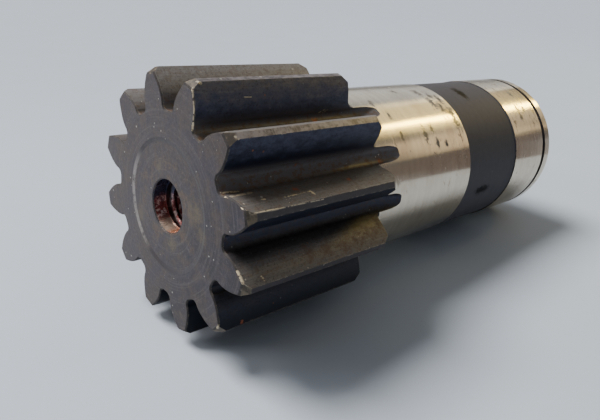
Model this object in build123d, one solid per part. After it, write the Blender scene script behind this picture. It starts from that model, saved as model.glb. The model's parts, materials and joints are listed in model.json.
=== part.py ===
from build123d import *
import os
from math import acos, cos, pi, radians, sin, tan

# One-piece pinion shaft, millimetres. The teeth and the shaft are one forging.
# +X runs along the shaft from the toothed head to the plain end, +Z is up.
# One tooth gap points straight down, so the head can lie on two teeth.
# The origin is on the shaft axis, in the middle of the seat next to the head, past the hob's marks.

# Teeth
module = 7.0
tooth_count = 12
pressure_angle = radians(20)
profile_shift = 0.4
whole_depth = 2.157 * module
root_fillet = 2.4

# The hob lifts out of each gap on its own radius and marks the seat behind the teeth
hob_radius = 50.0
lift_out_degrees = 40

# Stations along the shaft, measured from the free face of the head
head_length = 76.0
full_depth_length = 75.5
seat_start = 80.0
relief_start = 148.2
relief_end = 195.2
groove_start = 226.8
groove_width = 3.15
shaft_length = 236.5
seat_middle = 121.0

# Diameters and depths
seat_diameter = 80.0
relief_depth = 0.5
groove_diameter = 76.5
end_chamfer = 1.2
edge_break = 0.5

# Chamfer of the tooth tips at both faces of the head
tip_chamfer_length = 3.2
tip_chamfer_depth = 2.1

# Shallow turned recess in the free face, with a sloping wall
recess_radius = 26.4
recess_wall = 1.6
recess_depth = 0.4

# Tapped centre hole in the free face, M20
thread_radius = 10.0
guide_radius = 10.5
guide_depth = 6.0
thread_end = 42.0
drill_radius = 8.75
drill_depth = 53.0
mouth_chamfer = 0.5
drill_point_angle = radians(59)

# Plain 60 degree centre in the far end
centre_mouth_radius = 6.6
centre_pilot_radius = 3.15
centre_pilot_depth = 15.0
centre_half_angle = radians(30)

tip_radius = module * (tooth_count / 2 + 1 + profile_shift)
root_radius = tip_radius - whole_depth
base_radius = module * tooth_count / 2 * cos(pressure_angle)
seat_radius = seat_diameter / 2
relief_radius = seat_radius - relief_depth
shoulder_fillet = seat_start - head_length


def involute(angle):
    """Involute function of a pressure angle."""
    return tan(angle) - angle


def gap_half_angle(radius):
    """Half the angle that a tooth gap takes up at a radius."""
    tooth_at_pitch = (pi / 2 + 2 * profile_shift * tan(pressure_angle)) / tooth_count
    local_angle = acos(min(1.0, base_radius / radius))
    tooth = tooth_at_pitch + involute(pressure_angle) - involute(local_angle)
    return pi / tooth_count - tooth


def flank_point(radius, side):
    """Point of a gap's flank in a sketch whose Y axis runs up the middle of the gap."""
    half = side * gap_half_angle(radius)
    return (radius * sin(half), radius * cos(half))


def gap_profile():
    """Cross-section of one tooth gap, open past the tooth tips."""
    flank_steps = 7
    clear_radius = tip_radius + 1.0
    radii = [base_radius + (clear_radius - base_radius) * i / flank_steps for i in range(flank_steps + 1)]
    right_flank = [flank_point(r, 1) for r in radii]
    left_flank = [flank_point(r, -1) for r in reversed(radii)]
    base_half = gap_half_angle(base_radius)
    root_right = (root_radius * sin(base_half), root_radius * cos(base_half))
    root_left = (-root_right[0], root_right[1])
    with BuildSketch() as sketch:
        with BuildLine():
            Line(root_right, right_flank[0])
            Spline(*right_flank)
            ThreePointArc(right_flank[-1], (0, clear_radius), left_flank[0])
            Spline(*left_flank)
            Line(left_flank[-1], root_left)
            ThreePointArc(root_left, (0, root_radius), root_right)
        make_face()
        root_corners = sketch.vertices().sort_by(Axis.Y)[:2]
        fillet(root_corners, root_fillet)
    return sketch.sketch


def gap_cutter():
    """Path of the hob through one gap: straight along the teeth, then lifting out on its own radius."""
    entry = 2.0
    section_plane = Plane(origin=(0, 0, 0), x_dir=(0, 1, 0), z_dir=(1, 0, 0))
    straight = extrude(section_plane.offset(-entry) * gap_profile(), full_depth_length + entry)
    hob_axis = Axis((full_depth_length, 0, root_radius + hob_radius), (0, -1, 0))
    lift_out = revolve(section_plane.offset(full_depth_length) * gap_profile(), hob_axis, lift_out_degrees)
    return straight + lift_out


def turned_blank():
    """The turned and ground outline before the teeth are cut, with both centre holes."""
    groove_end = groove_start + groove_width
    groove_radius = groove_diameter / 2
    guide_mouth = guide_radius + mouth_chamfer
    drill_tip = drill_depth + drill_radius / tan(drill_point_angle)
    cone_depth = (centre_mouth_radius - centre_pilot_radius) / tan(centre_half_angle)
    pilot_tip = centre_pilot_depth + centre_pilot_radius / tan(drill_point_angle)
    with BuildSketch(Plane.XZ) as outline:
        with BuildLine():
            Polyline(
                (head_length, seat_radius + shoulder_fillet),
                (head_length, tip_radius - tip_chamfer_depth),
                (head_length - tip_chamfer_length, tip_radius),
                (tip_chamfer_length, tip_radius),
                (0, tip_radius - tip_chamfer_depth),
                (0, recess_radius),
                (recess_depth, recess_radius - recess_wall),
                (recess_depth, guide_mouth),
                (recess_depth + mouth_chamfer, guide_radius),
                (guide_depth, guide_radius),
                (guide_depth, thread_radius),
                (thread_end, thread_radius),
                (thread_end, drill_radius),
                (drill_depth, drill_radius),
                (drill_tip, 0),
                (shaft_length - pilot_tip, 0),
                (shaft_length - centre_pilot_depth, centre_pilot_radius),
                (shaft_length - cone_depth, centre_pilot_radius),
                (shaft_length, centre_mouth_radius),
                (shaft_length, seat_radius - end_chamfer),
                (shaft_length - end_chamfer, seat_radius),
                (groove_end, seat_radius),
                (groove_end, groove_radius),
                (groove_start, groove_radius),
                (groove_start, seat_radius),
                (relief_end, seat_radius),
                (relief_end, relief_radius),
                (relief_start, relief_radius),
                (relief_start, seat_radius),
                (seat_start, seat_radius),
            )
            RadiusArc(
                (seat_start, seat_radius),
                (head_length, seat_radius + shoulder_fillet),
                shoulder_fillet,
            )
        make_face()
    return revolve(outline.sketch, Axis.X)


def pinion_shaft():
    """Blank with every tooth gap cut and the outline of the free face deburred."""
    shaft = turned_blank()
    cutter = gap_cutter()
    for index in range(tooth_count):
        shaft -= cutter.rotate(Axis.X, index * 360 / tooth_count)
    free_face = shaft.faces().filter_by(Axis.X).sort_by(Axis.X)[0]
    shaft = chamfer(free_face.outer_wire().edges(), edge_break)
    return shaft.translate((-seat_middle, 0, 0))


os.makedirs("parts", exist_ok=True)
export_step(pinion_shaft(), "parts/pinion_shaft.step")
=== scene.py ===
import bpy
import json
from math import atan2, cos, hypot, pi, radians, sin, tan
from mathutils import Matrix, Vector


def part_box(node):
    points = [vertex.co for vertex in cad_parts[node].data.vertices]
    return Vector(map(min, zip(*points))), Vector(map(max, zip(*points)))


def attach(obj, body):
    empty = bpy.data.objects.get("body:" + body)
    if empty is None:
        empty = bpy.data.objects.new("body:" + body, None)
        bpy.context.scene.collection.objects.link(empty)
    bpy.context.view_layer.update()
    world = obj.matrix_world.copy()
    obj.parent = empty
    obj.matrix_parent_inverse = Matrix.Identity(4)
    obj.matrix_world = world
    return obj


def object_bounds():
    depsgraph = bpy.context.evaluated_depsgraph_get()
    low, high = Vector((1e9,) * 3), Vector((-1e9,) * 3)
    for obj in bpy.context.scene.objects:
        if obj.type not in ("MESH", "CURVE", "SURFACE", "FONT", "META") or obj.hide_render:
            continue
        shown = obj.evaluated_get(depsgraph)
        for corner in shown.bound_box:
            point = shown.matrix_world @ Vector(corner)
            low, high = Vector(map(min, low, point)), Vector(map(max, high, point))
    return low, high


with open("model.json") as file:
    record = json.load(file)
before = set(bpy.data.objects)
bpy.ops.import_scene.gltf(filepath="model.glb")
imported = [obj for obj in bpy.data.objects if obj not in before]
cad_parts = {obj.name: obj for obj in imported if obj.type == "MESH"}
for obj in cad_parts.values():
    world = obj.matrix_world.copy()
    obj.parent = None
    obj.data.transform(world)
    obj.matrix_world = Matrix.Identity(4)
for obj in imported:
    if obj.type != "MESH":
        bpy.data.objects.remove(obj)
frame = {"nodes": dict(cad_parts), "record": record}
cad_low, cad_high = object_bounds()

# The pinion shaft lies along X. Stations are distances from the free face of the toothed head, in metres.
NODE = "pinion_shaft"
MM = 0.001
mounts = {m["name"]: m for m in frame["record"]["mounts"]}
free_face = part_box(NODE)[0].x
seat_radius = mounts["gear_side_seat"]["dims"]["r_mm"] * MM
thread_radius = mounts["centre_thread"]["dims"]["r_mm"] * MM
thread_length = mounts["centre_thread"]["dims"]["length_mm"] * MM
thread_middle = mounts["centre_thread"]["pos_m"][0]
head_end = free_face + 76 * MM
tooth_count = 12
tip_radius = 51.8 * MM
tip_chamfer_length = 3.2 * MM
end_chamfer = 1.2 * MM
relief_depth = 0.5 * MM

# Limits that tell the surfaces of the shaft apart. They aren't its sizes. A reach is counted from an end
# of the shaft or inwards from a radius, and goes a little past its surface.
slack = 0.03 * MM
face_reach = 0.6 * MM
hole_limit = 10.7 * MM
tip_reach = 2.3 * MM
end_reach = 12 * MM
groove_reach = 4 * MM
rim_reach = 1.5 * MM
edge_limit = 30 * MM

# Most places in seat_pits, flank_scratches, edge_rubs_and_highlights, rust_patches and flank_rust were
# worked out by a scratch program, which cast rays through the fitted camera, and were then rounded. Sizes
# are given one by one.

# Marks as (station, clock angle from the top, half length along, half length round), in mm and degrees.
# The clock angle runs from straight up towards -Y.
band_nicks = [(169.5, 18, 2.8, 5.4), (166, 102, 6.0, 2.6)]
seat_pits = [
    (94, 22, 1.2, 2.2), (98, 35, 1.0, 1.8), (99, 50, 1.2, 2.4), (119, 10, 1.1, 1.6), (116, 51, 1.5, 4.0),
    (122, 48, 1.2, 2.2), (123, 59, 1.2, 2.2), (130, 60, 1.1, 2.0), (134, 14, 1.8, 3.2), (136, 27, 1.8, 3.6),
    (140, 33, 1.8, 3.0), (140, 20, 1.5, 2.2), (144, 24, 1.6, 3.2), (145, 38, 2.0, 3.4), (144, 47, 2.0, 2.6),
    (214, 27, 1.4, 2.4), (208, 50, 1.2, 2.0), (215, 44, 1.2, 1.8)]

# Bright scratches on the flanks: start, end (station, y, z) and half width, in mm.
flank_scratches = [
    ((1.0, -33.0, 16.5), (7.5, -34.0, 16.2), 0.35),
    ((1.5, -38.5, 17.0), (9.0, -38.5, 17.0), 0.8),
    ((9.5, -44.2, 16.5), (10.5, -44.4, 16.4), 0.4),
    ((18.5, -45.5, 16.1), (30.0, -45.5, 16.1), 0.24),
    ((30.5, -45.5, 16.2), (31.0, -47.0, 15.6), 0.5),
    ((60.0, -16.5, 35.5), (63.5, -16.5, 37.0), 0.22),
    ((62.0, -16.5, 35.0), (64.5, -16.5, 36.5), 0.22),
    ((20.5, -16.5, 44.0), (24.5, -16.5, 43.8), 0.15),
    ((8.3, -48.5, -10.0), (9.0, -49.5, -11.0), 0.35),
]
# Lengths of the edges of the free face and of some tooth tips that are bright, given the same way: partly
# worn metal, partly painted highlight where the edges catch the light.
edge_rubs_and_highlights = [
    ((0.0, 12.5, 48.0), (0.0, 9.5, 45.0), 0.35), ((0.0, 9.5, 45.0), (0.0, 6.0, 38.5), 0.35),
    ((0.3, -15.0, 48.0), (0.2, -16.5, 41.0), 0.40), ((0.2, -16.5, 41.0), (0.3, -16.0, 33.5), 0.40),
    ((0.0, -36.5, 16.5), (0.0, -39.0, 16.0), 0.35), ((0.0, -45.5, 15.5), (2.0, -49.0, 14.5), 0.35),
    ((2.0, -49.0, 14.5), (12.0, -49.7, 14.6), 0.35), ((12.0, -49.7, 14.6), (33.0, -49.8, 14.2), 0.20),
    ((0.3, -45.5, -7.3), (0.5, -48.5, -10.0), 0.55), ((2.8, -14.0, 49.5), (3.8, -15.0, 49.3), 0.5),
    ((2.8, -36.5, 36.5), (3.6, -37.5, 35.8), 0.35), ((0.3, -36.5, -33.0), (0.5, -36.0, -34.5), 0.5),
    ((0.0, 10.0, -44.0), (0.3, 10.5, -46.5), 0.5),
]
# Brown stains on the free face round the hole: place and half size, in mm.
face_stains = [
    ((0, -19, 4), 8.0), ((0, -24, -3), 5.0), ((0, -4, -14), 5.5), ((0, 6, 14), 4.0), ((0, 20, -10), 5.0)]
# Dull rust along the upper flank of one tooth on the -Y side: place and half size, in mm.
flank_rust = [
    ((20, -44.5, -6.5), 4.0), ((32, -46, -7.5), 5.5), ((41, -47, -8.5), 5.0), ((50, -47.5, -9), 5.0),
    ((59, -46, -8), 6.0), ((67, -46, -8), 6.5), ((74, -44.5, -6.5), 7.5)]
# Small patches of fresh rust: place and half size, in mm.
rust_patches = [
    ((57.5, -17.0, 32.5), 2.4), ((82.5, -34.0, 17.0), 2.2), ((52.5, -43.5, 16.5), 1.8),
    ((26.0, -42.5, 17.0), 2.0), ((10.5, -37.5, -35.0), 1.2), ((45.0, -19.0, 32.0), 1.6),
]


# ---------------------------------------------------------------- shader helpers

class Shader:
    """A material and a short way to add nodes to it. Sockets are linked and plain values are set."""

    def __init__(self, name):
        self.material = bpy.data.materials.new(name)
        self.material.use_nodes = True
        self.tree = self.material.node_tree
        self.tree.nodes.clear()
        self.coordinates()

    def add(self, kind, settings=None, **inputs):
        node = self.tree.nodes.new(kind)
        for key, value in (settings or {}).items():
            setattr(node, key, value)
        for key, value in inputs.items():
            self.feed(node, key.replace("_", " "), value)
        return node

    def feed(self, node, key, value):
        socket = node.inputs[int(key)] if key.isdigit() else node.inputs[key]
        if isinstance(value, bpy.types.NodeSocket):
            self.tree.links.new(value, socket)
        else:
            socket.default_value = value

    def math(self, operation, a, b=0.0, clamp=False):
        node = self.add("ShaderNodeMath", {"operation": operation, "use_clamp": clamp})
        self.feed(node, "0", a)
        self.feed(node, "1", b)
        return node.outputs[0]

    def times(self, a, b):
        return self.math("MULTIPLY", a, b)

    def plus(self, a, b):
        return self.math("ADD", a, b)

    def over(self, value, start, end):
        """0 below start, 1 above end, smooth between; start may be larger than end."""
        node = self.add("ShaderNodeMapRange", {"interpolation_type": "SMOOTHSTEP"})
        self.feed(node, "Value", value)
        self.feed(node, "From Min", start)
        self.feed(node, "From Max", end)
        return node.outputs["Result"]

    def mix(self, factor, a, b):
        node = self.add("ShaderNodeMix", {"data_type": "RGBA"})
        self.feed(node, "0", factor)
        self.feed(node, "6", a)
        self.feed(node, "7", b)
        return node.outputs[2]

    def blend(self, factor, a, b):
        node = self.add("ShaderNodeMix", {"data_type": "FLOAT"})
        self.feed(node, "0", factor)
        self.feed(node, "2", a)
        self.feed(node, "3", b)
        return node.outputs[0]

    def vector(self, x, y, z):
        return self.add("ShaderNodeCombineXYZ", X=x, Y=y, Z=z).outputs[0]

    def noise(self, vector, scale=1.0, detail=3.0, roughness=0.55, distortion=0.0):
        node = self.add("ShaderNodeTexNoise", Vector=vector, Scale=scale, Detail=detail,
                        Roughness=roughness, Distortion=distortion)
        return node.outputs["Fac"]

    def coordinates(self):
        """Position in millimetres: station from the free face, and the two cross directions."""
        source = self.add("ShaderNodeTexCoord")
        parts = self.add("ShaderNodeSeparateXYZ", Vector=source.outputs["Object"])
        self.up = self.add("ShaderNodeSeparateXYZ", Vector=source.outputs["Normal"]).outputs[2]
        self.station = self.times(self.math("SUBTRACT", parts.outputs[0], free_face), 1000.0)
        self.y = self.times(parts.outputs[1], 1000.0)
        self.z = self.times(parts.outputs[2], 1000.0)
        self.radius = self.math("SQRT", self.plus(self.times(self.y, self.y), self.times(self.z, self.z)))
        self.angle = self.math("ARCTAN2", self.math("MULTIPLY", self.y, -1.0), self.z)
        self.place = self.vector(self.station, self.y, self.z)

    def stretched(self, along, across):
        """Coordinates scaled along the shaft and across it."""
        y, z = self.times(self.y, across), self.times(self.z, across)
        return self.vector(self.times(self.station, along), y, z)

    def vector_math(self, operation, *values):
        """Both outputs of the node: the vector, then the value."""
        node = self.add("ShaderNodeVectorMath", {"operation": operation})
        for index, value in enumerate(values):
            self.feed(node, str(index), value)
        return node.outputs

    def radial_normal(self):
        """Exact outward direction on a cylinder about the shaft axis."""
        return self.vector_math("NORMALIZE", self.vector(0.0, self.y, self.z))[0]

    def specks(self, cell, size, share, seed=0.0):
        """Round specks: one cell in a share of them holds a speck of about that size, in millimetres."""
        shifted = self.vector_math("ADD", self.place, (seed, seed * 1.7, seed * 0.6))[0]
        cells = self.add("ShaderNodeTexVoronoi", Vector=shifted, Scale=1.0 / cell, Randomness=1.0)
        pick = self.add("ShaderNodeSeparateColor", Color=cells.outputs["Color"])
        chosen = self.math("LESS_THAN", pick.outputs[0], share)
        width = self.times(pick.outputs[1], size / cell)
        dot = self.over(cells.outputs["Distance"], width, self.times(width, 0.5))
        return self.times(chosen, dot)

    def marks(self, spots, broken, grain):
        """Spots on a cylinder, each at a station and clock angle with its two half sizes in mm.
        Broken says how ragged they are, and grain how fine the raggedness is."""
        ragged = self.math("SUBTRACT", self.noise(self.place, grain, 5, 0.7), 0.5)
        found = 0.0
        for station, clock, along, around in spots:
            a = self.times(self.math("SUBTRACT", self.station, station), 1.0 / along)
            turn = self.math("SUBTRACT", self.angle, radians(clock))
            b = self.times(turn, seat_radius / MM / around)
            reach = self.math("SQRT", self.plus(self.times(a, a), self.times(b, b)))
            spot = self.over(self.plus(reach, self.times(ragged, broken)), 1.45, 0.35)
            found = self.math("MAXIMUM", found, spot)
        return found

    def apart(self, start, end):
        """Distance in mm from the straight line between two places; the two may be one."""
        offset = self.vector_math("SUBTRACT", self.place, start)[0]
        span = Vector(end) - Vector(start)
        if span.length == 0:
            return self.vector_math("LENGTH", offset)[1]
        reach = self.vector_math("DOT_PRODUCT", offset, tuple(span / span.length_squared))[1]
        share = self.math("ADD", reach, 0.0, clamp=True)
        along = self.add("ShaderNodeVectorMath", {"operation": "SCALE"},
                         **{"0": tuple(span), "Scale": share})
        rest = self.vector_math("SUBTRACT", offset, along.outputs[0])[0]
        return self.vector_math("LENGTH", rest)[1]

    def scratches(self, lines):
        """1 on thin ragged scratches, each with its start, its end and its half width in mm."""
        ragged = self.over(self.noise(self.place, 0.8, 4, 0.7), 0.41, 0.53)
        found = 0.0
        for start, end, width in lines:
            line = self.over(self.apart(start, end), width * 1.5, width * 0.5)
            found = self.math("MAXIMUM", found, line)
        return self.times(found, ragged)

    def patches(self, places):
        """1 inside ragged patches, each with its middle and half size in mm."""
        ragged = self.times(self.math("SUBTRACT", self.noise(self.place, 0.9, 4, 0.7), 0.5), 2.6)
        found = 0.0
        for middle, size in places:
            reach = self.plus(self.times(self.apart(middle, middle), 1.0 / size), ragged)
            found = self.math("MAXIMUM", found, self.over(reach, 0.8, 0.3))
        return found

    def worn_edge(self):
        """1 on sharp edges, broken up by noise."""
        soft = self.add("ShaderNodeBevel", {"samples": 6}, Radius=0.6 * MM).outputs[0]
        hard = self.add("ShaderNodeNewGeometry").outputs["Normal"]
        edge = self.over(self.vector_math("DOT_PRODUCT", soft, hard)[1], 0.985, 0.93)
        return self.times(edge, self.over(self.noise(self.place, 0.35, 4, 0.7), 0.46, 0.62))

    def bump(self, height, distance, strength=1.0, normal=None):
        node = self.add("ShaderNodeBump", Height=height, Distance=distance, Strength=strength)
        if normal is not None:
            self.feed(node, "Normal", normal)
        return node.outputs[0]

    def finish(self, **inputs):
        surface = self.add("ShaderNodeBsdfPrincipled")
        for key, value in inputs.items():
            self.feed(surface, key.replace("_", " "), value)
        output = self.add("ShaderNodeOutputMaterial")
        self.tree.links.new(surface.outputs[0], output.inputs[0])
        return surface


# ---------------------------------------------------------------- materials

def ground_steel():
    """Cylindrically ground seat: fine marks round the shaft, dark pits, brown stains and a warm tone."""
    s = Shader("ground_steel")
    coarse = s.noise(s.stretched(0.45, 0.02), detail=4)
    fine = s.noise(s.stretched(6.0, 0.10), detail=3)
    blotch = s.noise(s.stretched(0.07, 0.05), detail=4, roughness=0.6)
    base = s.mix(s.over(coarse, 0.3, 0.7), (0.545, 0.485, 0.380, 1), (0.605, 0.543, 0.430, 1))
    base = s.mix(s.times(s.over(blotch, 0.45, 0.75), 0.5), base, (0.36, 0.28, 0.21, 1))
    stain_field = s.noise(s.stretched(0.45, 0.20), detail=4, distortion=0.5)
    upper_side = s.over(s.math("COSINE", s.math("SUBTRACT", s.angle, radians(28))), 0.80, 0.96)
    near_band = s.times(s.over(s.station, 115.0, 145.0), s.plus(0.4, upper_side))
    stains = s.over(s.plus(stain_field, s.times(near_band, 0.07)), 0.63, 0.80)
    base = s.mix(s.times(stains, 0.6), base, (0.14, 0.095, 0.06, 1))
    pits = s.marks(seat_pits, 4.5, 0.75)
    base = s.mix(s.times(pits, 0.80), base, (0.045, 0.034, 0.026, 1))
    dirt = s.math("MAXIMUM", stains, pits)
    roughness = s.plus(s.blend(fine, 0.15, 0.21), s.times(dirt, 0.3))
    height = s.math("SUBTRACT", s.times(fine, 0.3), s.times(dirt, 2.0))
    normal = s.bump(height, 0.00002, 0.15, s.radial_normal())
    surface = s.finish(Base_Color=base, Metallic=s.blend(pits, 1.0, 0.2), Roughness=roughness,
                       Anisotropic=0.7, Anisotropic_Rotation=0.25, Normal=normal)
    tangent = s.add("ShaderNodeTangent", {"direction_type": "RADIAL", "axis": "X"})
    s.tree.links.new(tangent.outputs[0], surface.inputs["Tangent"])
    return s.material


def dark_band():
    """Turned relief that was never ground: dark grey, with two old nicks."""
    s = Shader("dark_band")
    turning = s.noise(s.stretched(3.2, 0.05), detail=3)
    mottle = s.noise(s.stretched(0.35, 0.35), detail=4)
    base = s.mix(turning, (0.034, 0.034, 0.041, 1), (0.078, 0.078, 0.089, 1))
    base = s.mix(s.times(mottle, 0.5), base, (0.100, 0.091, 0.092, 1))
    dust = s.specks(2.6, 0.45, 0.10)
    base = s.mix(s.times(dust, 0.5), base, (0.22, 0.20, 0.18, 1))
    nicks = s.marks(band_nicks, 2.6, 0.55)
    base = s.mix(s.times(nicks, 0.95), base, (0.004, 0.004, 0.004, 1))
    roughness = s.blend(turning, 0.62, 0.76)
    height = s.math("SUBTRACT", s.times(turning, 0.4), s.times(nicks, 4.0))
    normal = s.bump(height, 0.00005, 0.5, s.radial_normal())
    s.finish(Base_Color=base, Metallic=s.blend(nicks, 0.03, 1.0), Roughness=roughness,
             Specular_IOR_Level=0.14, Normal=normal)
    return s.material


def dark_head():
    """Hobbed, heat-treated teeth: near black below (painted shade), blue-grey on the sides (painted
    reflection), grey-brown where they face up (painted light, partly dust), with rust, specks, scratches
    and edges that are partly worn, partly painted highlight."""
    s = Shader("dark_head")
    streak = s.noise(s.stretched(0.06, 1.6), detail=4)
    mottle = s.noise(s.stretched(0.22, 0.40), detail=5, roughness=0.65, distortion=0.3)
    # Painted shade and painted reflection: what faces down is near black and the sides are dark blue-grey,
    # broken up by noise.
    facing = s.plus(s.up, s.times(s.math("SUBTRACT", mottle, 0.5), 1.1))
    above = s.over(s.z, -36.0, -18.0)
    base = s.mix(s.over(facing, -0.6, 0.20), (0.004, 0.006, 0.016, 1), (0.050, 0.055, 0.092, 1))
    # Painted light, partly a dust film: what faces up above the lower teeth is lighter grey-brown, palest
    # at the top of the head.
    film_and_top_light = s.times(s.over(facing, 0.0, 0.75), above)
    base = s.mix(film_and_top_light, base, (0.124, 0.114, 0.109, 1))
    dust_and_top_light = s.times(s.times(film_and_top_light, s.over(s.up, 0.30, 0.60)), s.over(s.z, 24.0, 48.0))
    base = s.mix(dust_and_top_light, base, (0.222, 0.210, 0.206, 1))
    base = s.mix(s.times(s.over(streak, 0.45, 0.70), s.times(film_and_top_light, 0.6)), base, (0.180, 0.162, 0.142, 1))
    # Painted shade: the lower part of the head goes near black below z -18 mm, fully below -36 mm.
    base = s.mix(s.math("SUBTRACT", 1.0, above), base, (0.004, 0.006, 0.011, 1))
    grain = s.noise(s.place, 1.1, 2, 0.8)
    base = s.mix(s.times(s.over(grain, 0.50, 0.72), 0.45), base, (0.004, 0.004, 0.005, 1))
    root = s.times(s.over(s.radius, 43.0, 37.5), above)
    base = s.mix(s.times(root, s.over(s.z, 2.0, 18.0)), base, (0.108, 0.100, 0.104, 1))
    rust_field = s.noise(s.stretched(0.40, 0.55), detail=5, roughness=0.7)
    rust = s.times(s.over(rust_field, 0.47, 0.62), s.plus(s.times(film_and_top_light, 0.38), s.times(root, 0.50)))
    base = s.mix(rust, base, (0.118, 0.070, 0.044, 1))
    base = s.mix(s.times(s.patches(rust_patches), 0.8), base, (0.30, 0.085, 0.035, 1))
    base = s.mix(s.times(s.specks(5.2, 1.1, 0.14, 11.0), 0.6), base, (0.26, 0.085, 0.03, 1))
    base = s.mix(s.times(s.specks(3.8, 0.8, 0.16, 5.0), s.plus(0.15, s.times(film_and_top_light, 0.6))), base,
                 (0.45, 0.42, 0.37, 1))
    base = s.mix(s.times(s.specks(1.8, 0.45, 0.14, 9.0), s.times(s.plus(film_and_top_light, root), 0.8)), base,
                 (0.42, 0.38, 0.32, 1))
    # Painted shade: the deep gaps between the lower teeth are darkened towards black.
    low_gap_shade = s.times(s.over(s.radius, 46.5, 42.0), s.over(s.z, 6.0, -3.0))
    base = s.mix(s.times(low_gap_shade, 0.7), base, (0.004, 0.006, 0.012, 1))
    dull = s.times(s.patches(flank_rust), s.over(s.noise(s.place, 0.42, 5, 0.75), 0.40, 0.58))
    base = s.mix(s.times(dull, 0.75), base, (0.128, 0.082, 0.060, 1))
    # Bright scratches and worn edges, with painted highlights along some of the listed edges.
    bright = s.scratches(flank_scratches + edge_rubs_and_highlights)
    bare_and_highlight = s.math("MAXIMUM", bright, s.times(s.worn_edge(), 0.6))
    base = s.mix(bare_and_highlight, base, (0.55, 0.47, 0.33, 1))
    roughness = s.plus(s.blend(mottle, 0.43, 0.59), s.times(s.plus(rust, dull), 0.2))
    height = s.plus(s.plus(s.times(mottle, 0.6), s.times(streak, 0.4)), s.times(bright, -1.5))
    normal = s.bump(height, 0.00018, 0.5)
    s.finish(Base_Color=base, Metallic=s.blend(bare_and_highlight, 0.18, 0.5), Roughness=roughness,
             Specular_IOR_Level=0.25, Normal=normal)
    return s.material


def turned_face():
    """Faced end: turning rings, grey-brown, dust and rust specks, painted shade, a recess wall with a
    painted highlight.
    """
    s = Shader("turned_face")
    rings_at = s.vector(s.times(s.radius, 1.3), s.times(s.y, 0.03), s.times(s.z, 0.03))
    rings = s.noise(rings_at, detail=4, roughness=0.7)
    clouds = s.noise(s.place, 0.05, 4, 0.6)
    mottle = s.noise(s.place, 0.30, 6, 0.75)
    scale = s.noise(s.place, 0.9, 4, 0.75)
    # Painted shade: the face darkens towards -Y and -Z, broken up by large noise.
    painted_shade_right_low = s.over(s.plus(s.plus(s.times(s.y, -0.012), s.times(s.z, -0.008)), clouds), 0.30, 1.05)
    base = s.mix(painted_shade_right_low, (0.051, 0.040, 0.042, 1), (0.019, 0.014, 0.019, 1))
    base = s.mix(s.times(s.over(clouds, 0.42, 0.62), 0.60), base, (0.064, 0.043, 0.032, 1))
    bluish = s.noise(s.place, 0.07, 5, 0.65)
    base = s.mix(s.times(s.over(bluish, 0.46, 0.64), 0.60), base, (0.028, 0.025, 0.043, 1))
    base = s.mix(s.times(s.over(mottle, 0.52, 0.70), 0.55), base, (0.092, 0.077, 0.071, 1))
    base = s.mix(s.times(s.over(mottle, 0.48, 0.34), 0.6), base, (0.020, 0.016, 0.019, 1))
    base = s.mix(s.times(s.over(rings, 0.50, 0.66), 0.36), base, (0.112, 0.098, 0.094, 1))
    rust_field = s.noise(s.place, 0.20, 6, 0.75)
    near_hole = s.over(s.radius, 27.0, 11.0)
    rust = s.times(s.over(rust_field, 0.46, 0.62), s.plus(0.22, s.times(near_hole, 0.40)))
    base = s.mix(rust, base, (0.115, 0.070, 0.037, 1))
    stained = s.times(s.patches(face_stains), s.over(mottle, 0.30, 0.60))
    base = s.mix(stained, base, (0.105, 0.080, 0.050, 1))
    base = s.mix(s.times(s.over(scale, 0.54, 0.72), 0.45), base, (0.150, 0.132, 0.124, 1))
    base = s.mix(s.times(s.over(scale, 0.46, 0.32), 0.65), base, (0.011, 0.008, 0.010, 1))
    left_side = s.times(s.over(s.math("COSINE", s.plus(s.angle, radians(100))), 0.55, 0.92),
                        s.over(s.station, 10.0, 5.0))
    # Painted shade: the recess wall is darkened.
    wall = s.over(s.math("ABSOLUTE", s.math("SUBTRACT", s.radius, 25.6)), 1.1, 0.5)
    base = s.mix(s.times(wall, 0.5), base, (0.022, 0.019, 0.021, 1))
    # The left arc of the recess wall is bright: partly worn metal, partly painted highlight.
    rubbed_and_highlight = s.times(s.times(wall, left_side), s.over(mottle, 0.30, 0.55))
    base = s.mix(s.times(rubbed_and_highlight, 0.8), base, (0.34, 0.31, 0.29, 1))
    base = s.mix(s.times(s.specks(5.0, 1.3, 0.16, 3.0), 0.75), base, (0.22, 0.085, 0.04, 1))
    base = s.mix(s.times(s.specks(2.6, 0.5, 0.16, 8.0), 0.8), base, (0.42, 0.39, 0.35, 1))
    base = s.mix(s.times(s.specks(9.0, 1.2, 0.25, 13.0), 0.9), base, (0.60, 0.57, 0.52, 1))
    roughness = s.blend(mottle, 0.38, 0.54)
    height = s.plus(s.plus(s.times(rings, 0.45), s.times(mottle, 0.4)), s.times(scale, 0.35))
    normal = s.bump(height, 0.00022, 0.5)
    s.finish(Base_Color=base, Metallic=0.2, Roughness=roughness, Normal=normal)
    return s.material


def deburred_edge():
    """Narrow deburred strip round the free face: dull grey-brown, bright in short lengths that are partly
    worn metal and partly painted highlight.
    """
    s = Shader("deburred_edge")
    mottle = s.noise(s.place, 0.35, 5, 0.7)
    base = s.mix(s.over(mottle, 0.35, 0.65), (0.032, 0.028, 0.029, 1), (0.066, 0.056, 0.050, 1))
    base = s.mix(s.times(s.over(mottle, 0.64, 0.72), 0.6), base, (0.26, 0.22, 0.17, 1))
    # Bright lengths along the edge: partly worn metal, partly painted highlight.
    bare_and_highlight = s.scratches(edge_rubs_and_highlights)
    base = s.mix(bare_and_highlight, base, (0.66, 0.55, 0.38, 1))
    normal = s.bump(mottle, 0.0002, 0.5)
    s.finish(Base_Color=base, Metallic=s.blend(bare_and_highlight, 0.0, 0.5), Roughness=0.62, Specular_IOR_Level=0.2,
             Normal=normal)
    return s.material


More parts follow.
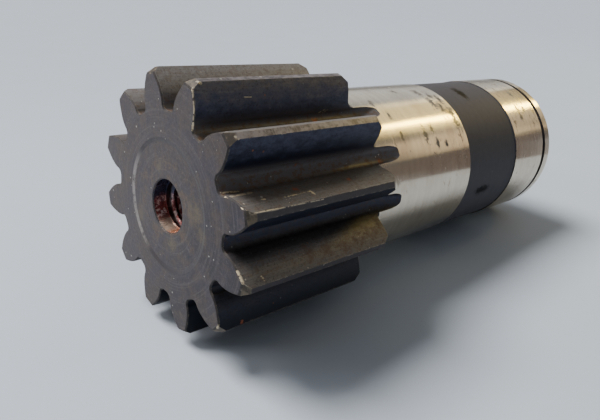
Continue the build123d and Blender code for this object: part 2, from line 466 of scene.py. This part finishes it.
def tooth_tips():
    """Turned tips of the teeth and their chamfers: grey-brown on top, darker where they face sideways,
    which is painted shade. The ring groove has the same finish."""
    s = Shader("tooth_tips")
    turning = s.noise(s.stretched(1.6, 0.05), detail=4, roughness=0.65)
    mottle = s.noise(s.stretched(0.3, 0.4), detail=5, roughness=0.65)
    base = s.mix(s.over(mottle, 0.35, 0.65), (0.074, 0.064, 0.066, 1), (0.216, 0.191, 0.194, 1))
    base = s.mix(s.times(s.over(turning, 0.48, 0.68), 0.5), base, (0.245, 0.216, 0.210, 1))
    # Painted shade: where the tips and the groove face sideways or down they take this dark colour.
    side = s.mix(mottle, (0.026, 0.024, 0.030, 1), (0.070, 0.060, 0.060, 1))
    base = s.mix(s.over(s.up, 0.62, 0.34), base, side)
    chamfer = s.mix(s.over(mottle, 0.38, 0.62), (0.060, 0.048, 0.038, 1), (0.150, 0.120, 0.082, 1))
    on_chamfer = s.over(s.station, 3.3, 3.1)
    base = s.mix(on_chamfer, base, chamfer)
    base = s.mix(s.times(s.specks(3.0, 0.9, 0.20, 2.0), 0.8), base, (0.45, 0.42, 0.36, 1))
    # Worn edges, with painted highlights along some of the listed edges.
    bare_and_highlight = s.math("MAXIMUM", s.scratches(edge_rubs_and_highlights), s.times(s.worn_edge(), 0.6))
    base = s.mix(bare_and_highlight, base, (0.40, 0.34, 0.25, 1))
    roughness = s.plus(s.blend(turning, 0.38, 0.54), s.times(on_chamfer, 0.15))
    normal = s.bump(s.plus(s.times(turning, 0.5), s.times(mottle, 0.5)), 0.00010, 0.5)
    s.finish(Base_Color=base, Metallic=0.15, Roughness=roughness, Specular_IOR_Level=0.3, Normal=normal)
    return s.material


def oily_hole():
    """Inside of the tapped hole: blue-black at the top (painted shade and painted reflection), copper-red
    rust under oil at the bottom, pale and orange at the mouth."""
    s = Shader("oily_hole")
    patch = s.noise(s.stretched(0.25, 0.45), detail=4, distortion=0.8)
    # Painted shade and painted reflection make the upper side of the hole blue-black; the lower side is
    # rust.
    low = s.over(s.plus(s.z, s.times(s.math("SUBTRACT", patch, 0.5), 14.0)), 2.5, -5.5)
    base = s.mix(low, (0.026, 0.032, 0.070, 1), (0.34, 0.095, 0.085, 1))
    # Painted highlights: pale pink glints on the lower side of the hole.
    glint = s.noise(s.place, 0.42, 3, 0.6)
    base = s.mix(s.times(low, s.over(glint, 0.49, 0.58)), base, (0.95, 0.70, 0.64, 1))
    mouth = s.times(s.over(s.station, 6.1, 5.9), s.over(s.plus(s.z, s.times(patch, 4.0)), -4.5, -7.5))
    lip = s.mix(s.over(s.y, -2.0, 3.0), (0.56, 0.21, 0.09, 1), (0.78, 0.62, 0.48, 1))
    base = s.mix(s.times(mouth, 0.85), base, lip)
    # Painted shade: the roots of the thread are darkened.
    root = s.times(s.over(s.radius, 9.2, 9.9), s.over(s.station, 5.9, 6.2))
    base = s.mix(s.times(root, 0.85), base, (0.014, 0.008, 0.010, 1))
    roughness = s.plus(s.blend(patch, 0.14, 0.36), s.times(root, 0.25))
    normal = s.bump(patch, 0.0008, 0.7)
    s.finish(Base_Color=base, Metallic=0.6, Roughness=roughness, Coat_Weight=0.3, Coat_Roughness=0.12,
             Normal=normal)
    return s.material


# ---------------------------------------------------------------- the shaft and its thread

def paint_shaft(shaft):
    """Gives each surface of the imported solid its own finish, told apart by place and direction."""
    finishes = [
        ground_steel(), dark_band(), dark_head(), turned_face(), deburred_edge(), tooth_tips(), oily_hole()]
    steel, band, head, face, edge, tips, hole = range(len(finishes))
    mesh = shaft.data
    mesh.materials.clear()
    for finish in finishes:
        mesh.materials.append(finish)
    for polygon in mesh.polygons:
        middle = polygon.center
        radii = [hypot(mesh.vertices[i].co.y, mesh.vertices[i].co.z) for i in polygon.vertices]
        inner, outer = min(radii), max(radii)
        along = abs(polygon.normal.x)
        sideways = abs(polygon.normal.y * middle.z - polygon.normal.z * middle.y) / tip_radius
        from_face = middle.x - free_face
        from_end = cad_high.x - middle.x
        in_head = middle.x < head_end
        in_hole = outer < hole_limit + slack and in_head and not (along > 0.9 and from_face < face_reach)
        on_edge = from_face < face_reach and 0.6 < along < 0.95 and inner > edge_limit
        on_face = (from_face < face_reach and along > 0.5) or (from_end < face_reach and along > 0.9)
        on_seat = seat_radius - slack < inner and outer < seat_radius + slack and along < 0.1
        on_end_rim = from_end < rim_reach and inner > seat_radius - rim_reach
        on_band = abs(inner - seat_radius + relief_depth) < slack and outer < seat_radius and along < 0.1
        in_groove = from_end < end_reach and inner > seat_radius - groove_reach
        on_tip = in_head and inner > tip_radius - tip_reach and sideways < 0.02
        if in_hole:
            kind = hole
        elif on_edge:
            kind = edge
        elif on_face:
            kind = face
        elif on_seat or on_end_rim:
            kind = steel
        elif on_band:
            kind = band
        elif in_groove or on_tip:
            kind = tips
        else:
            kind = head
        polygon.material_index = kind
        polygon.use_smooth = True


def mesh_object(name, points, faces, material):
    """New object made of points and faces, all in one material."""
    mesh = bpy.data.meshes.new(name)
    mesh.from_pydata(points, [], faces)
    mesh.validate()
    mesh.materials.append(material)
    made = bpy.data.objects.new(name, mesh)
    bpy.context.scene.collection.objects.link(made)
    return made


def thread_turns(material):
    """Right-hand M20 x 2.5 turns, standing in from the wall of the tapped hole and fading at both ends."""
    pitch = 2.5 * MM
    steps = 64
    crest = 8.7 * MM
    root = thread_radius + 0.02 * MM
    half_crest = 0.31 * MM
    fade = 0.4 * steps
    thinnest = 0.04
    half_root = half_crest + (root - crest) * tan(radians(30))
    start = thread_middle - thread_length / 2 + half_root
    turns = (thread_length - 2 * half_root) / pitch
    count = int(turns * steps)
    points = []
    for i in range(count + 1):
        angle = 2 * pi * i / steps
        x = start + pitch * i / steps
        rise = min(1.0, i / fade, (count - i) / fade)
        top = root - (root - crest) * max(thinnest, rise)
        for offset, r in ((-half_root, root), (-half_crest, top), (half_crest, top), (half_root, root)):
            points.append((x + offset, -r * sin(angle), r * cos(angle)))
    faces = []
    for i in range(count):
        a, b = 4 * i, 4 * (i + 1)
        for k in range(4):
            n = (k + 1) % 4
            faces.append((a + k, a + n, b + n, b + k))
    faces.append((3, 2, 1, 0))
    last = 4 * count
    faces.append((last, last + 1, last + 2, last + 3))
    piece = mesh_object("thread_turns", points, faces, material)
    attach(piece, "root")


# ---------------------------------------------------------------- floor, light, camera

# The floor is tilted as the shaft lies on it: on two teeth and on its far rim.
rest_height = -tip_radius * cos(pi / tooth_count)
rest_station = head_end - tip_chamfer_length
slope = atan2(-seat_radius - rest_height, cad_high.x - end_chamfer - rest_station)


def floor():
    """Plain pale floor."""
    s = Shader("pale_floor")
    grain = s.noise(s.place, 0.02, 4)
    base = s.mix(grain, (0.50, 0.56, 0.64, 1), (0.54, 0.60, 0.68, 1))
    s.finish(Base_Color=base, Roughness=0.75)
    half = 40.0
    corners = [(-half, -half, 0), (half, -half, 0), (half, half, 0), (-half, half, 0)]
    ground = mesh_object("floor", corners, [(0, 1, 2, 3)], s.material)
    ground.location = (rest_station, 0, rest_height)
    ground.rotation_euler = (0, -slope, 0)


def warm_card():
    """Low card standing on the floor past the far end of the shaft. It glows warm, as a light that only
    reflections show.
    """
    s = Shader("glowing_card")
    s.finish(Base_Color=(0, 0, 0, 1), Specular_IOR_Level=0.0, Emission_Color=(0.232, 0.190, 0.180, 1),
             Emission_Strength=1.0)
    corners = []
    for x, y, top in ((0.295, -0.119, 0.060), (0.363, -0.396, 0.130)):
        bottom = rest_height + (x - rest_station) * tan(slope)
        corners += [(x, y, bottom), (x, y, top)]
    card = mesh_object("warm_card", corners, [(0, 2, 3, 1)], s.material)
    card.visible_camera = False
    card.visible_diffuse = False
    card.visible_shadow = False


def stand(name, data, height, bearing, distance, lean=0.0):
    """Stands a light round the shaft, facing it. Height and bearing are in degrees, and the bearing runs
    from +X to +Y. Lean turns the light in its own plane, with its top towards smaller bearings."""
    lamp = bpy.data.objects.new(name, data)
    up, turn = radians(height), radians(bearing)
    away = Vector((cos(up) * cos(turn), cos(up) * sin(turn), sin(up)))
    lamp.location = away * distance
    lamp.rotation_euler = (-away).to_track_quat("-Z", "Y").to_euler()
    lamp.rotation_euler.rotate_axis("Z", radians(lean))
    bpy.context.scene.collection.objects.link(lamp)
    return lamp


def soft_panel(name, height, bearing, distance, width, tall, glow, colour, lean=0.0):
    """Soft rectangular light. Its glow is its radiance."""
    data = bpy.data.lights.new(name, "AREA")
    data.shape = "RECTANGLE"
    data.size = width
    data.size_y = tall
    data.energy = glow * pi * width * tall
    data.color = colour
    return stand(name, data, height, bearing, distance, lean)


def reflected_panel(*panel):
    """Panel that shows in reflections and adds nothing to diffuse light."""
    soft_panel(*panel).visible_diffuse = False


def studio():
    """Grey sky with a pale horizon, panels for the reflections, a soft side light and a broad sun."""
    world = bpy.data.worlds.new("studio")
    bpy.context.scene.world = world
    world.use_nodes = True
    tree = world.node_tree
    tree.nodes.clear()
    place = tree.nodes.new("ShaderNodeTexCoord")
    parts = tree.nodes.new("ShaderNodeSeparateXYZ")
    ramp = tree.nodes.new("ShaderNodeValToRGB")
    background = tree.nodes.new("ShaderNodeBackground")
    output = tree.nodes.new("ShaderNodeOutputWorld")
    tree.links.new(place.outputs["Generated"], parts.inputs[0])
    tree.links.new(parts.outputs[2], ramp.inputs[0])
    tree.links.new(ramp.outputs[0], background.inputs[0])
    tree.links.new(background.outputs[0], output.inputs[0])
    stops = ramp.color_ramp
    stops.elements[0].position = 0.0
    stops.elements[0].color = (1.15, 1.18, 1.22, 1)
    stops.elements[1].position = 1.0
    stops.elements[1].color = (0.55, 0.60, 0.68, 1)
    for position, colour in ((0.045, (0.85, 0.86, 0.88, 1)), (0.13, (0.40, 0.385, 0.375, 1))):
        stops.elements.new(position).color = colour
    background.inputs["Strength"].default_value = 0.42
    reflected_panel("window", 31, -8.5, 1.2, 0.085, 0.46, 37.0, (1.0, 0.73, 0.14), 22)
    reflected_panel("window_wall", 37, -2, 1.25, 0.74, 0.42, 1.7, (1.0, 0.80, 0.40))
    reflected_panel("left_wall", 27, 30, 1.3, 0.65, 0.56, 0.78, (0.96, 0.99, 1.0))
    reflected_panel("right_wall", 21, -28, 1.3, 0.34, 0.36, 1.3, (1.0, 0.77, 0.48))
    reflected_panel("end_wall", 22, -12, 1.25, 0.22, 0.24, 0.9, (1.0, 0.80, 0.52))
    soft_panel("left_side", 18, 148, 0.50, 0.16, 0.16, 6.0, (1.0, 0.94, 0.92))
    sun = bpy.data.lights.new("sky_light", "SUN")
    sun.energy = 4.6
    sun.angle = radians(26)
    sun.color = (1.0, 0.98, 0.96)
    stand("sky_light", sun, 55, 120, 1.0)


def make_camera():
    """Camera near the free face, a little above, rolled slightly. Its numbers are a rounded fit."""
    place = Vector((-0.2274, -0.1790, 0.0840))
    direction = Vector((0.6559, 0.6599, -0.3664)).normalized()
    data = bpy.data.cameras.new("camera")
    data.lens = 34.6
    data.clip_start = 0.01
    camera = bpy.data.objects.new("camera", data)
    turn = direction.to_track_quat("-Z", "Y").to_matrix()
    roll = Matrix.Rotation(radians(-6.12), 3, direction)
    camera.matrix_world = Matrix.Translation(place) @ (roll @ turn).to_4x4()
    bpy.context.scene.collection.objects.link(camera)
    bpy.context.scene.camera = camera


shaft = frame["nodes"][NODE]
paint_shaft(shaft)
thread_turns(shaft.data.materials["oily_hole"])
floor()
warm_card()
studio()
make_camera()
